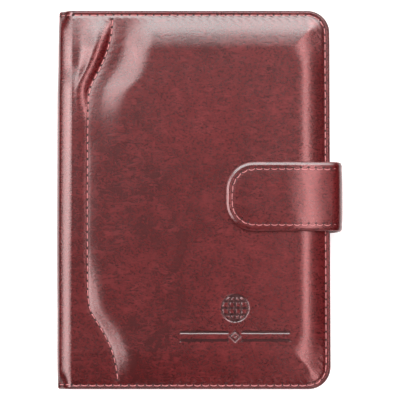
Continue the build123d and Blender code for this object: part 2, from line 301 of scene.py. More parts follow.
# Mesh making -----------------------------------------------
def make_object(name, verts_mm, faces, material, sharp=38, slots=None, face_slots=None):
    """Smooth-shaded mesh object from places in millimetres."""
    mesh = bpy.data.meshes.new(name)
    mesh.from_pydata([tuple(v) for v in np.asarray(verts_mm) * MM], [], faces)
    mesh.validate()
    for item in [material] + list(slots or []):
        mesh.materials.append(item)
    if face_slots is not None:
        mesh.polygons.foreach_set("material_index", face_slots)
    mesh.shade_smooth()
    mesh.set_sharp_from_angle(angle=math.radians(sharp))
    obj = bpy.data.objects.new(name, mesh)
    bpy.context.scene.collection.objects.link(obj)
    return obj


def fix_normals(obj):
    bm = bmesh.new()
    bm.from_mesh(obj.data)
    bmesh.ops.recalc_face_normals(bm, faces=bm.faces)
    bm.to_mesh(obj.data)
    bm.free()


def grid_faces(rows, cols, start=0):
    """Faces of an open sheet, rows by cols vertices."""
    corners = [(start + r * cols + c, start + (r + 1) * cols + c)
               for r in range(rows - 1) for c in range(cols - 1)]
    return [(near, near + 1, far + 1, far) for near, far in corners]


def tube_faces(rows, count, start=0):
    """Faces of a tube of closed rings, rows of count vertices each."""
    faces = []
    for r in range(rows - 1):
        near, far = start + r * count, start + (r + 1) * count
        for c in range(count):
            n = (c + 1) % count
            faces.append((near + c, near + n, far + n, far + c))
    return faces


def ring_faces(ring, new):
    """Faces between two closed loops of vertices."""
    count = len(ring)
    return [(ring[k], new[k], new[(k + 1) % count], ring[(k + 1) % count]) for k in range(count)]


def end_faces(rows, count):
    """The two flat ends of a tube."""
    return [tuple(range(count)), tuple(range((rows - 1) * count, rows * count))]


class Outline:
    """A flat panel's outline: a straight side at fold, and two round corners at the far end."""

    def __init__(self, fold, end, half, corner, edge, middle=0.0):
        self.fold, self.end, self.half = fold, end, half
        self.corner, self.edge, self.middle = corner, edge, middle
        self.side = math.copysign(1.0, end - fold)
        self.notch = 0.0

    def inset(self, x, y):
        """How far a place lies inside the outline; the fold side counts as endless."""
        qx = self.side * (x - self.end) + self.corner
        qy = np.abs(y - self.middle) - self.half + self.corner
        outside = np.hypot(np.maximum(qx, 0), np.maximum(qy, 0))
        return self.corner - outside - np.minimum(np.maximum(qx, qy), 0)

    def levels(self, pitch):
        """Y levels of a grid, crowded into the round corners."""
        turn_r = self.corner - self.edge
        straight = self.half - self.corner
        middle = np.linspace(-straight, straight, int(2 * straight / pitch) + 2)
        turn = np.linspace(0, math.pi / 2, int(5 * math.sqrt(turn_r / pitch)))[1:]
        ends = straight + turn_r * np.sin(turn)
        return self.middle + np.concatenate([-ends[::-1], middle, ends])

    def far_x(self, levels):
        """The far side's x, less the rounded edge."""
        turn_r = self.corner - self.edge
        over = np.maximum(np.abs(levels - self.middle) - (self.half - self.corner), 0)
        return self.end - self.side * (self.corner - np.sqrt(np.maximum(turn_r**2 - over**2, 0)))

    def fold_x(self, levels):
        """The side at the fold, with the round thumb notch if there is one."""
        return self.fold + self.side * np.sqrt(np.maximum(self.notch**2 - (levels - self.middle) ** 2, 0))

    def grid(self, levels, shares):
        """Places at given levels and at given shares of the way across."""
        near = self.fold_x(levels)[:, None]
        x = near + shares[None, :] * (self.far_x(levels)[:, None] - near)
        return x, np.repeat(levels[:, None], len(shares), 1)


# Turned edge, as shares of the way out and of the way down
EDGE_PROFILE = [(0.25, 0.06), (0.55, 0.17), (0.82, 0.33), (1.0, 0.5)]
EDGE_PROFILE += [(1.0, 0.72), (0.93, 0.88), (0.75, 0.97), (0.45, 1.0)]


def refined(values, low, high, pitch):
    """The same values, with the stretch between low and high divided more finely."""
    kept = values[(values < low) | (values > high)]
    return np.sort(np.concatenate([kept, np.arange(low, high, pitch)]))


def panel(name, outline, face, under, material, pitch, closed_fold=False, levels=None, shares=None,
          edge_material=None, under_material=None):
    """Closed form: a face and an underside from height functions, joined by a rounded edge.

    The side at the fold is cut square unless closed_fold is set.
    """
    levels = outline.levels(pitch) if levels is None else levels
    if shares is None:
        shares = np.linspace(0, 1, int(abs(outline.end - outline.fold) / pitch) + 2)
    x, y = outline.grid(levels, shares)
    rows, cols = x.shape
    index = np.arange(rows * cols).reshape(rows, cols)
    loop = np.concatenate([index[0, :-1], index[:-1, -1], index[-1, :0:-1], index[:0:-1, 0]])
    top = np.stack([x, y, face(x, y)], -1).reshape(-1, 3)
    low = np.stack([x, y, under(x, y)], -1).reshape(-1, 3)
    place, foot = top[loop], low[loop]
    tangent = (np.roll(place, -1, 0) - np.roll(place, 1, 0))[:, :2] * outline.side
    normal = np.stack([tangent[:, 1], -tangent[:, 0]], -1)
    normal /= np.maximum(np.linalg.norm(normal, axis=1, keepdims=True), 1e-9)
    at_fold = np.abs(place[:, 0] - outline.fold_x(place[:, 1])) < 1e-6
    at_end = (np.abs(place[:, 1] - levels[0]) < 1e-6) | (np.abs(place[:, 1] - levels[-1]) < 1e-6)
    if not closed_fold:
        normal[at_fold] = 0
    square = at_end if not closed_fold else at_end & ~at_fold
    across = np.where(place[:, 1] < (levels[0] + levels[-1]) / 2, -1.0, 1.0)
    normal[square] = np.stack([np.zeros(square.sum()), across[square]], -1)
    verts, faces, slots = [top], grid_faces(rows, cols), [0] * ((rows - 1) * (cols - 1))
    start, ring, count = rows * cols, loop, len(loop)
    for out, down in EDGE_PROFILE:
        xy = place[:, :2] + normal * outline.edge * out
        z = place[:, 2] + (foot[:, 2] - place[:, 2]) * down
        verts.append(np.column_stack([xy, z]))
        new = np.arange(start, start + count)
        faces += ring_faces(ring, new)
        slots += [1 if edge_material else 0] * count
        ring, start = new, start + count
    verts.append(low)
    below = loop + start
    faces += ring_faces(ring, below)
    under_faces = grid_faces(rows, cols, start)
    faces += [f[::-1] for f in under_faces]
    slots += [2 if under_material else 0] * (count + len(under_faces))
    extra = [edge_material or material, under_material or material]
    obj = make_object(name, np.concatenate(verts), faces, material, slots=extra, face_slots=slots)
    fix_normals(obj)
    return obj


COVER = Outline(HINGE_X, FORE_X, EDGE_Y, CORNER_R, EDGE_R)


# Heights of the covers' faces ------------------------------
# Runs of a slope are (straight, round shoulder); "head" and "foot" are the covers' +Y and -Y ends
SLOPE_IN = 2.1           # the padding starts to rise here
ENDS_FROM, ENDS_OVER = 22, 12             # the ends' slopes take over at this far from the edge
STRAIGHT_FORE, STRAIGHT_ENDS = 2.0, 4.0   # even slope beside the edge sewing
ROUND_FORE, ROUND_ENDS = 7.8, 10.4        # round shoulder above it
HINGE_LEVEL = 2.2        # the fold pad is level over this width at the hinge
RIDGE_W, RIDGE_W_HEAD = 3.4, 1.4          # the fold pad's rise beside the seam, and more at the head
HEAD_DROP, FOOT_DROP = 0.52, 0.56         # share of the padding lost at the fold line
LOW_MID, LOW_HEAD, LOW_FOOT = 0.10, 0.70, 0.52    # depth of the seam's valley, as a share
VALLEY = 0.3             # half width of the seam's sewn line
SEAM_DENT, ROW_GROOVE, ROW_RIPPLE = 0.07, 0.18, 0.04      # how deep the sewing pulls the leather
PUCKER, PUCKER_Y, PUCKER_LENGTH = 0.035, 57, 6.0
PUCKER_WAY = (0.94, 0.34)                 # cosine and sine of the puckers' slant
WAVE_WIDE, WAVE_FINE = 0.07, 0.015        # uneven padding under the leather


def slope_share(run, straight, shoulder):
    """0 to 1 along a run: an even slope, then a round shoulder."""
    over = np.clip(run - straight, 0, shoulder)
    return (np.clip(run, 0, straight) + over - over**2 / (2 * shoulder)) / (straight + shoulder / 2)


def crown_share(x, y):
    """An even slope beside the sewing, then a round shoulder up to the crown."""
    near_end = ease((np.abs(y) - EDGE_Y + ENDS_FROM) / ENDS_OVER)
    straight = STRAIGHT_FORE + (STRAIGHT_ENDS - STRAIGHT_FORE) * near_end
    shoulder = ROUND_FORE + (ROUND_ENDS - ROUND_FORE) * near_end
    return slope_share(COVER.inset(x, y) - SLOPE_IN, straight, shoulder)


def seam_ends(y):
    """How far a place has come into the seam's swept head, and towards its foot."""
    return ease((y - 26) / 25), ease((-12 - y) / 38)


def ridge_width(y):
    """The fold pad rises over this width beside the seam."""
    return RIDGE_W + RIDGE_W_HEAD * seam_ends(y)[0]


def fold_level(y):
    """The padding at the fold line stands lower than the main pad near the head and the foot."""
    head, foot = seam_ends(y)
    room = seam_x(y) - ridge_width(y) - HINGE_X
    return 1 - HEAD_DROP * head * ease((room - 0.5) / 6) - FOOT_DROP * foot


def hinge_drop(y):
    """How far the padding has come down at the fold line, near the head and foot."""
    return PAD_RISE * (1 - crown_share(np.full_like(y, HINGE_X), y) * fold_level(y))


def front_height(x, y):
    """Height of the front cover's face."""
    inset = COVER.inset(x, y)
    seam = seam_distance(x, y)
    head, foot = seam_ends(y)
    # Main pad: rises gently from the swept head of the seam, quickly from its foot, little between
    main = slope_share(seam - VALLEY, 1.2 + 2.2 * foot, 3.2 + 1.4 * foot)
    slow = 0.06 * ease(seam / 3.0) + 0.94 * ease((seam - 4.4) / (8.5 + 3.5 * head))
    main = main + (slow - main) * ease((y - 14) / 14)
    # Fold pad: a ridge beside the seam's head, flat beside its foot
    ridge_w = ridge_width(y)
    fold = swell((-seam - VALLEY) / ridge_w, 1.7 + 0.5 * head)
    low = 1 - (LOW_MID + LOW_HEAD * head + LOW_FOOT * foot)
    level = fold_level(y)
    ridge_top = seam_x(y) - ridge_w
    room = ridge_top - HINGE_X
    back = ease((ridge_top - x) / np.maximum(room - HINGE_LEVEL * head * ease(room / 6), 0.5))
    ridge = 1 - FOOT_DROP * foot + (level - 1 + FOOT_DROP * foot) * (0.35 * back + 0.65 * back**0.75)
    seam_share = np.where(seam > 0, low + (1 - low) * main, low + (ridge - low) * fold)
    crown = crown_share(x, y)
    rise = PAD_RISE * crown * seam_share
    # Puckers run away from the seam where it sweeps out
    near_end = bell(np.abs(y) - PUCKER_Y, 15)
    slant_cos, slant_sin = PUCKER_WAY
    along = y * slant_cos - np.sign(y) * x * slant_sin
    away = x * slant_cos + np.sign(y) * y * slant_sin
    pucker_points = np.stack([along / 0.9, away / PUCKER_LENGTH, np.zeros_like(x)], -1)
    pucker = field(pucker_points, 1.0, 3, 2) * PUCKER * near_end * bell(seam - 2.5, 4.0) * crown
    points = np.stack([x, y, np.zeros_like(x)], -1)
    wave = field(points, 24.0, 5, 2) * WAVE_WIDE + field(points, 7.0, 11, 2) * WAVE_FINE
    seam_dent = SEAM_DENT * bell(seam, 0.7)
    groove = ROW_GROOVE * bell(inset - STITCH_IN, 0.6)
    ripple = ROW_RIPPLE * bell(inset - 3.0, 1.2) * np.cos(2 * np.pi * (x + y) / STITCH_PITCH)
    pressed = TOOL_D * tooled(x, y)
    return RIM_Z + rise + pucker + wave * crown * seam_share - seam_dent - groove - ripple - pressed


# Blind-tooled ornament: a globe's lines over a broken double rule with a lozenge
MOTIF_X, GLOBE_Y, RULE_Y = FORE_X - 35.7, 30.2 - EDGE_Y, 19.7 - EDGE_Y
GLOBE_R, RULE_LEN, RULE_GAP, RULE_LIFT = 5.0, 41.0, 4.6, 1.5
TOOL_W, TOOL_D, TOOL_WALL = 0.42, 0.2, 0.16


def tooled(x, y):
    """1 in the pressed lines, 0 beside them."""
    dx, dy = x - MOTIF_X, y - GLOBE_Y
    radius = np.hypot(dx, dy)
    oval = GLOBE_R / 2 - 0.2
    lines = [np.abs(radius - GLOBE_R), np.abs(dx), np.abs(dy)]
    lines += [np.abs(dy - lift) for lift in (GLOBE_R / 2, -GLOBE_R / 2)]
    lines.append(np.abs(np.hypot(dx * GLOBE_R / oval, dy) - GLOBE_R) * 0.55)
    globe = np.max([ease((TOOL_W + TOOL_WALL - line) / TOOL_WALL) for line in lines], 0)
    globe = globe * ease((GLOBE_R + 0.4 - radius) / 0.2)
    across, along = y - RULE_Y, np.abs(x - MOTIF_X)
    rule = ease((TOOL_W + TOOL_WALL - np.abs(np.abs(across) - RULE_LIFT)) / TOOL_WALL)
    rule = rule * ease((RULE_LEN / 2 - along) / 0.2) * ease((along - RULE_GAP / 2) / 0.2)
    diamond = along + np.abs(across)
    lozenge = ease((TOOL_W + TOOL_WALL - np.abs(diamond - 1.9)) / TOOL_WALL)
    lozenge = np.maximum(lozenge, ease((0.75 - diamond) / 0.25))
    return np.maximum(np.maximum(globe, rule), lozenge)


def back_height(x, y):
    """Height of the back cover's outer face, sunk where the strap's end is sewn on."""
    inset = COVER.inset(x, y)
    rise = PAD_RISE * crown_share(x, y)
    tail_x = (x - TAIL_LO[0]) / 1.2
    tail_y = (TAIL_HI[1] - np.abs(y - STRAP_Y) - STRAP_Y) / 1.2
    sunk = ease(0.5 + tail_x) * ease(0.5 + tail_y)
    face = BACK_LO[2] + PAD_RISE - rise + 0.16 * bell(inset - STITCH_IN, 0.55)
    return np.maximum(face, sunk * (TAIL_HI[2] + 0.03))


# Materials -------------------------------------------------
def set_inputs(node, values):
    for key, value in values.items():
        node.inputs[key].default_value = value


class Nodes:
    """A material under construction."""

    def __init__(self, name):
        self.material = bpy.data.materials.new(name)
        self.material.use_nodes = True
        self.tree = self.material.node_tree
        self.shader = self.tree.nodes["Principled BSDF"]
        self.coords = self.add("ShaderNodeTexCoord").outputs["Object"]

    def add(self, kind, **values):
        node = self.tree.nodes.new(kind)
        for key, value in values.items():
            setattr(node, key, value)
        return node

    def link(self, a, b):
        self.tree.links.new(a, b)

    def stretched(self, scale, turn=0.0):
        mapping = self.add("ShaderNodeMapping")
        set_inputs(mapping, {"Scale": scale, "Rotation": (0, 0, turn)})
        self.link(self.coords, mapping.inputs["Vector"])
        return mapping.outputs["Vector"]

    def noise(self, scale, detail=4.0, rough=0.55, vector=None, distort=0.0):
        node = self.add("ShaderNodeTexNoise")
        set_inputs(node, {"Scale": scale, "Detail": detail, "Roughness": rough, "Distortion": distort})
        self.link(vector or self.coords, node.inputs["Vector"])
        return node.outputs["Fac"]

    def cells(self, scale, feature="DISTANCE_TO_EDGE", vector=None):
        node = self.add("ShaderNodeTexVoronoi", feature=feature)
        node.inputs["Scale"].default_value = scale
        self.link(vector or self.coords, node.inputs["Vector"])
        return node.outputs["Distance"]

    def remap(self, value, low, high, to_low, to_high):
        node = self.add("ShaderNodeMapRange")
        set_inputs(node, {"From Min": low, "From Max": high, "To Min": to_low, "To Max": to_high})
        self.link(value, node.inputs["Value"])
        return node.outputs["Result"]

    def mix(self, a, b, share, mode="MIX"):
        node = self.add("ShaderNodeMix", data_type="RGBA", blend_type=mode)
        for socket, item in ((node.inputs["Factor"], share), (node.inputs[6], a), (node.inputs[7], b)):
            if isinstance(item, bpy.types.NodeSocket):
                self.link(item, socket)
            else:
                socket.default_value = item if isinstance(item, float) else (*item, 1)
        return node.outputs[2]

    def bump(self, height, strength, distance, normal=None):
        node = self.add("ShaderNodeBump")
        set_inputs(node, {"Strength": strength, "Distance": distance})
        self.link(height, node.inputs["Height"])
        if normal is not None:
            self.link(normal, node.inputs["Normal"])
        return node.outputs["Normal"]


def leather(name, dark, light, worn, rough=0.5, coat=1.0, grain=1.0):
    """Waxed leather: cloudy dye, pebbled grain, fine pale creases and a polished top coat."""
    m = Nodes(name)
    cloud = m.noise(34, 4, 0.6)
    mottle = m.noise(560, 4, 0.7)
    pebble = m.cells(1150, "F1", m.stretched((1.0, 1.25, 1.0), 0.3))
    base = m.mix(dark, light, m.remap(cloud, 0.32, 0.68, 0.0, 1.0))
    base = m.mix(base, light, m.remap(mottle, 0.46, 0.70, 0.0, 0.8))
    base = m.mix(base, tuple(0.45 * c for c in dark), m.remap(pebble, 0.42, 0.75, 0.0, 0.5))
    vein = None
    for turn, scale, thin in ((0.35, 300, 0.050), (-0.4, 380, 0.042), (1.0, 480, 0.036)):
        lines = m.noise(scale, 3, 0.5, m.stretched((0.34, 1.0, 1.0), turn), 0.9)
        away = m.add("ShaderNodeMath", operation="SUBTRACT")
        m.link(lines, away.inputs[0])
        away.inputs[1].default_value = 0.5
        size = m.add("ShaderNodeMath", operation="ABSOLUTE")
        m.link(away.outputs[0], size.inputs[0])
        line = m.remap(size.outputs[0], 0.0, thin, 1.0, 0.0)
        kept = m.remap(m.noise(90 + scale / 6, 3, 0.6), 0.46, 0.66, 0.0, 1.0)
        line = m.mix((0, 0, 0), line, kept)
        vein = line if vein is None else m.mix(vein, line, 1.0, "LIGHTEN")
    base = m.mix(base, worn, m.mix((0, 0, 0), vein, 0.28))
    pressed = m.add("ShaderNodeAttribute", attribute_name="tooled")
    base = m.mix(base, tuple(0.25 * c for c in dark), m.remap(pressed.outputs["Fac"], 0.0, 1.0, 0.0, 0.9))
    m.link(base, m.shader.inputs["Base Color"])
    m.link(m.remap(mottle, 0.3, 0.7, rough - 0.06, rough + 0.08), m.shader.inputs["Roughness"])
    set_inputs(m.shader, {"Coat Weight": coat, "Coat Roughness": 0.24, "Coat IOR": 1.6,
                          "Specular IOR Level": 0.05})
    fine = m.noise(2400, 3, 0.6)
    normal = m.bump(m.remap(pebble, 0.0, 0.8, 1.0, 0.0), 0.30 * grain, 0.00018)
    normal = m.bump(mottle, 0.25 * grain, 0.0003, normal)
    normal = m.bump(fine, 0.2 * grain, 0.0001, normal)
    normal = m.bump(vein, 0.3 * grain, 0.0001, normal)
    m.link(normal, m.shader.inputs["Normal"])
    polish = m.bump(m.remap(pebble, 0.0, 0.8, 1.0, 0.0), 0.07 * grain, 0.00016)
    polish = m.bump(mottle, 0.07 * grain, 0.00025, polish)
    polish = m.bump(vein, 0.10 * grain, 0.0001, polish)
    m.link(polish, m.shader.inputs["Coat Normal"])
    return m.material


def plain(name, colour, rough, spread=0.12, scale=900, bump=0.1):
    """One colour with fine specks."""
    m = Nodes(name)
    speck = m.noise(scale, 4, 0.6)
    lighter = tuple(min(1.0, c * (1 + spread)) for c in colour)
    darker = tuple(c * (1 - spread) for c in colour)
    m.link(m.mix(darker, lighter, m.remap(speck, 0.3, 0.7, 0.0, 1.0)), m.shader.inputs["Base Color"])
    set_inputs(m.shader, {"Roughness": rough})
    m.link(m.bump(speck, bump, 0.0002), m.shader.inputs["Normal"])
    return m.material


def woven(name, dark, light):
    """Fine lining cloth."""
    m = Nodes(name)
    warp = m.add("ShaderNodeTexWave", wave_type="BANDS", bands_direction="X")
    weft = m.add("ShaderNodeTexWave", wave_type="BANDS", bands_direction="Y")
    for node in (warp, weft):
        set_inputs(node, {"Scale": 420, "Distortion": 0.6})
        m.link(m.coords, node.inputs["Vector"])
    cloth = m.mix(warp.outputs["Color"], weft.outputs["Color"], 0.5, "MULTIPLY")
    cloud = m.noise(60, 4, 0.6)
    base = m.mix(dark, light, m.remap(cloud, 0.3, 0.7, 0.2, 0.8))
    base = m.mix(base, dark, m.remap(cloth, 0.0, 0.6, 0.6, 0.0))
    m.link(base, m.shader.inputs["Base Color"])
    set_inputs(m.shader, {"Roughness": 0.8, "Sheen Weight": 0.35})
    m.link(m.bump(cloth, 0.35, 0.0002), m.shader.inputs["Normal"])
    return m.material


DARK, MID, WORN = (0.028, 0.0015, 0.0020), (0.058, 0.0037, 0.0046), (0.18, 0.030, 0.034)
COVER_LEATHER = leather("cover_leather_waxed", DARK, MID, WORN)
STRAP_LEATHER = leather("strap_leather_waxed", (0.029, 0.0016, 0.0022), (0.059, 0.0041, 0.0051), WORN)
PANEL_LEATHER = leather("panel_leather_satin", (0.040, 0.0042, 0.0050), (0.068, 0.0085, 0.0095), WORN,
                        rough=0.55, coat=0.4)
STRAP_EDGE = leather("strap_turned_edge", (0.060, 0.0085, 0.0095), (0.11, 0.020, 0.021),
                     (0.30, 0.10, 0.10), grain=0.4)
THREAD = plain("thread_rose", (0.34, 0.16, 0.16), 0.5, spread=0.22, scale=2600, bump=0.5)
# Near-black material for the needle holes: painted shade standing in for each hole's depth.
HOLE_SHADE = plain("needle_hole_painted_shade", (0.006, 0.0015, 0.0015), 0.9)
LINING = woven("lining_woven", (0.035, 0.010, 0.011), (0.07, 0.018, 0.019))


# Camera, light and floor -----------------------------------
scene = bpy.context.scene
scene.view_settings.view_transform = "Standard"

CENTRE = Vector((2.6 * MM, -0.55 * MM, TOP_Z * MM))     # the middle of the picture
TILT = math.radians(3.6)      # the camera stands a little towards the foot
REACH = 0.829                 # metres from the front cover
LENS, SENSOR = 200, 36
FLOOR_HALF, FLOOR_Z = 3, -0.0002
camera = bpy.data.objects.new("camera", bpy.data.cameras.new("camera"))
camera.data.lens = LENS
camera.data.sensor_width = SENSOR
camera.location = CENTRE + Vector((0, -math.sin(TILT), math.cos(TILT))) * REACH
camera.rotation_mode = "QUATERNION"
camera.rotation_quaternion = (CENTRE - camera.location).to_track_quat("-Z", "Y")
scene.collection.objects.link(camera)
scene.camera = camera

floor_mesh = bpy.data.meshes.new("studio_floor")
floor_corners = [(x * FLOOR_HALF, y * FLOOR_HALF, FLOOR_Z) for x, y in ((-1, -1), (1, -1), (1, 1), (-1, 1))]
floor_mesh.from_pydata(floor_corners, [], [(0, 1, 2, 3)])
FLOOR = plain("studio_floor", (0.55, 0.55, 0.55), 0.9, spread=0.01, scale=5, bump=0.0)
floor_shader = FLOOR.node_tree.nodes["Principled BSDF"]
set_inputs(floor_shader, {"Specular IOR Level": 0.0, "Emission Color": (1, 1, 1, 1),
                          "Emission Strength": 0.8})
floor_mesh.materials.append(FLOOR)
studio_floor = bpy.data.objects.new("studio_floor", floor_mesh)
scene.collection.objects.link(studio_floor)
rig.stage(studio_floor)

world = bpy.data.worlds.new("studio")
scene.world = world
world.use_nodes = True
sky = world.node_tree
sky_way = sky.nodes.new("ShaderNodeTexCoord")
sky_parts = sky.nodes.new("ShaderNodeSeparateXYZ")
sky_level = sky.nodes.new("ShaderNodeMapRange")
sky.links.new(sky_way.outputs["Generated"], sky_parts.inputs["Vector"])
sky.links.new(sky_parts.outputs["Z"], sky_level.inputs["Value"])
SKY_HORIZON, SKY_ZENITH = 0.6, 0.06
set_inputs(sky_level, {"From Min": 0.25, "From Max": 0.9, "To Min": SKY_HORIZON, "To Max": SKY_ZENITH})
sky.links.new(sky_level.outputs["Result"], sky.nodes["Background"].inputs["Strength"])


AIM = Vector((0, 0, 0.015))


def softbox(name, azimuth, off_vertical, distance, size, radiance, colour=(1, 1, 1)):
    """An area light seen from the object at a compass direction and an angle off the vertical."""
    turn, lean = math.radians(azimuth), math.radians(off_vertical)
    way = Vector((math.sin(turn) * math.sin(lean), math.cos(turn) * math.sin(lean), math.cos(lean)))
    lamp = bpy.data.lights.new(name, "AREA")
    lamp.shape = "RECTANGLE"
    lamp.size, lamp.size_y = size
    lamp.energy = math.pi * size[0] * size[1] * radiance
    lamp.color = colour
    obj = bpy.data.objects.new(name, lamp)
    obj.location = AIM + way * distance
    obj.rotation_mode = "QUATERNION"
    obj.rotation_quaternion = (AIM - obj.location).to_track_quat("-Z", "Y")
    scene.collection.objects.link(obj)


softbox("key_head", 0, 41, 0.70, (0.78, 0.32), 9.6)
softbox("key_corner", -50, 25, 0.72, (0.34, 0.13), 8.8, colour=(1.0, 0.76, 0.76))
softbox("strip_spine", -90, 35, 0.75, (0.60, 0.30), 10.6, colour=(1.0, 0.68, 0.68))
softbox("strip_fore", 90, 18, 0.8, (1.1, 0.10), 17.0, colour=(1.0, 0.45, 0.45))
softbox("fill_foot", 180, 60, 0.9, (0.8, 0.35), 1.6)


# Covers and spine ------------------------------------------
def flat(level):
    return lambda x, y: np.full_like(x, level)


def mark(obj, name, values):
    """Stores one number per vertex for the material to read."""
    data = obj.data.attributes.new(name, "FLOAT", "POINT")
    data.data.foreach_set("value", values.astype(np.float32))


def places(obj):
    co = np.empty(len(obj.data.vertices) * 3)
    obj.data.vertices.foreach_get("co", co)
    return co.reshape(-1, 3) / MM


front_levels = refined(COVER.levels(GRID), RULE_Y - 3, GLOBE_Y + 6, FINE)
front_x = refined(np.linspace(HINGE_X, FORE_X - EDGE_R, int((FORE_X - HINGE_X) / GRID)),
                  MOTIF_X - RULE_LEN / 2 - 1, MOTIF_X + RULE_LEN / 2 + 1, FINE)
front_shares = (front_x - HINGE_X) / (FORE_X - EDGE_R - HINGE_X)
front_panel = panel("front_panel", COVER, front_height, flat(LINING_TOP_Z), COVER_LEATHER, GRID,
                    levels=front_levels, shares=front_shares)
where = places(front_panel)
mark(front_panel, "tooled", tooled(where[:, 0], where[:, 1]) * (where[:, 2] > RIM_Z))
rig.ride(front_panel, "front_cover")
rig.replaces(front_panel, "front_cover_leather", "front_foam_pad", "front_fold_pad",
            "front_stiffener_board", "front_catch_disc")
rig.slot(front_panel, "cover_leather")
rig.padded(front_panel, fill=0.8)

back_levels = refined(COVER.levels(2 * GRID), STRAP_Y - STRAP_HALF - 2, STRAP_Y + STRAP_HALF + 2, GRID)
back_panel = panel("back_panel", COVER, back_height, flat(LINING_LOW_Z), COVER_LEATHER, 2 * GRID,
                   levels=back_levels)
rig.ride(back_panel, "back_cover")
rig.replaces(back_panel, "back_cover_leather", "back_foam_pad", "back_stiffener_board")
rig.slot(back_panel, "cover_leather")
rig.padded(back_panel, fill=0.8)


SHOULDER_SHARE = 0.70    # of the bulge
SHOULDER_LEANS = math.tan(math.radians(5)), math.tan(math.radians(24))    # at the fold, at its end
SHOULDER_SPLIT = 0.45    # share of the turn that draws the shoulder
SIDE_TANGENTS = 4.4, 9.0


def bow(half_height, bulge, angles, sag=0.0):
    """Side view of the rounded spine: a leaning shoulder at the fold, then a steep round side.

    sag lowers the shoulder's outer part, as at the spine's ends.
    """
    t = 1 - np.abs(angles) / (math.pi / 2)
    shoulder = SHOULDER_SHARE * bulge
    lean_0, lean_1 = SHOULDER_LEANS
    u = clamp01(t / SHOULDER_SPLIT)
    out = shoulder * u
    drop = shoulder * (lean_0 * u + (lean_1 - lean_0) * u * u / 2) + sag * u * u
    v = clamp01((t - SHOULDER_SPLIT) / (1 - SHOULDER_SPLIT))
    top = half_height - shoulder * (lean_0 + lean_1) / 2 - sag
    turn = math.atan(lean_1 + 2 * sag / shoulder)
    start, end = np.array((shoulder, top)), np.array((bulge, 0.0))
    leaving = SIDE_TANGENTS[0] * np.array((math.cos(turn), -math.sin(turn)))
    side = hermite(start, end, leaving, np.array((0, -SIDE_TANGENTS[1])), v)
    out = np.where(t < SHOULDER_SPLIT, out, side[:, 0])
    high = np.where(t < SHOULDER_SPLIT, half_height - drop, side[:, 1])
    return np.sign(angles) * high, out


SPINE_SAG = 1.2          # the spine's shoulders drop by this at its two ends
SPINE_WALL = 1.8         # leather, strip and lining together
SPINE_PULL = 0.35        # the spine draws in by this share of the hinge's drop
SPINE_REACH = HINGE_X - SPINE_LO[0]
SQUASH_KEEP = 0.2
SPINE_ANCHOR = ((HINGE_X + 1.5) * MM, 0, 0)


def make_spine():
    levels = front_levels
    turn = np.radians([30, 60, 90])
    extra = EDGE_Y - EDGE_R + EDGE_R * np.sin(turn)
    pinch = EDGE_R * (1 - np.cos(turn))
    y = np.concatenate([-extra[::-1], levels, extra])
    inset = np.concatenate([pinch[::-1], np.zeros(len(levels)), pinch])
    drop = hinge_drop(levels)
    drop = np.concatenate([np.full(3, drop[0]), drop, np.full(3, drop[-1])])
    angles = np.linspace(math.pi / 2, -math.pi / 2, 49)
    rows = []
    for level, shrink, fall in zip(y, inset, drop):
        half = TOP_Z / 2 - fall
        sag = SPINE_SAG * (1 - float(slope_share(EDGE_Y - SLOPE_IN - abs(level), 2.0, 3.5)))
        reach = SPINE_REACH - SPINE_PULL * fall
        wall = SPINE_WALL - 0.6 * shrink
        out_z, out_x = bow(half - shrink, reach - shrink, angles, sag)
        in_z, in_x = bow(half - wall, reach - wall, angles[::-1], sag)
        ring_z = np.concatenate([out_z, in_z]) + TOP_Z / 2
        ring_x = HINGE_X - np.concatenate([out_x, in_x])
        rows.append(np.stack([ring_x, np.full_like(ring_x, level), ring_z], -1))
    verts = np.stack(rows)
    count = verts.shape[1]
    faces = tube_faces(len(rows), count)
    half = count // 2
    for r in (0, len(rows) - 1):
        for c in range(half - 1):
            o, i = r * count + c, r * count + count - 1 - c
            faces.append((o, o + 1, i - 1, i))
    inner = [1 if all(k % count >= half for k in f) else 0 for f in faces]
    obj = make_object("spine_skin", verts.reshape(-1, 3), faces, COVER_LEATHER,
                      slots=[LINING], face_slots=inner)
    fix_normals(obj)
    return obj


spine_skin = make_spine()
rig.ride(spine_skin, "spine")
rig.replaces(spine_skin, "spine_leather", "spine_stiffener", "spine_lining")
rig.slot(spine_skin, "cover_leather")
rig.squash(spine_skin, "spine_fold", axis=(1, 0, 0), anchor=SPINE_ANCHOR, keep=SQUASH_KEEP)


# Strap -----------------------------------------------------
STRAP_T = 1.7
STRAP_THINNER = 0.72     # less thickness where the bend meets the back cover
STRAP_ROW_IN = 2.6       # sewing line, in from the strap's edge
STRAP_PITCH = 2.8
STRAP_CROWN, STRAP_DENT = 0.13, 0.07
STRAP_BEVEL, BEVEL_DROP = 0.95, 0.36      # bevelled rim of the strap's face
STRAP_SINK = 0.1         # the face lies this far under the CAD face, with room for its crown
STRAP_BOW_X = FORE_X - 16.8      # the strap starts to fall towards the fore-edge here
STRAP_ANCHOR = ((STRAP_FOLD_X - 1.0) * MM, 0, 0)
FLAP_EDGE, FLAP_CORNER_R, TAIL_CORNER_R = 0.4, 10.8, 2.2
FLAP = Outline(STRAP_FOLD_X, FLAP_LO[0], STRAP_HALF, FLAP_CORNER_R, FLAP_EDGE, STRAP_Y)
TAIL = Outline(STRAP_FOLD_X, TAIL_LO[0], STRAP_HALF, TAIL_CORNER_R, FLAP_EDGE, STRAP_Y)
STRAP_DROP = FLAP_HI[2] - STRAP_FOLD_Z
FOLD_LEAN = 2 * STRAP_DROP / (STRAP_FOLD_X - STRAP_BOW_X)


def strap_line(x):
    """Side view of the closed flap: level, then falling towards the fore-edge."""
    return FLAP_HI[2] - STRAP_DROP * clamp01((x - STRAP_BOW_X) / (STRAP_FOLD_X - STRAP_BOW_X)) ** 2


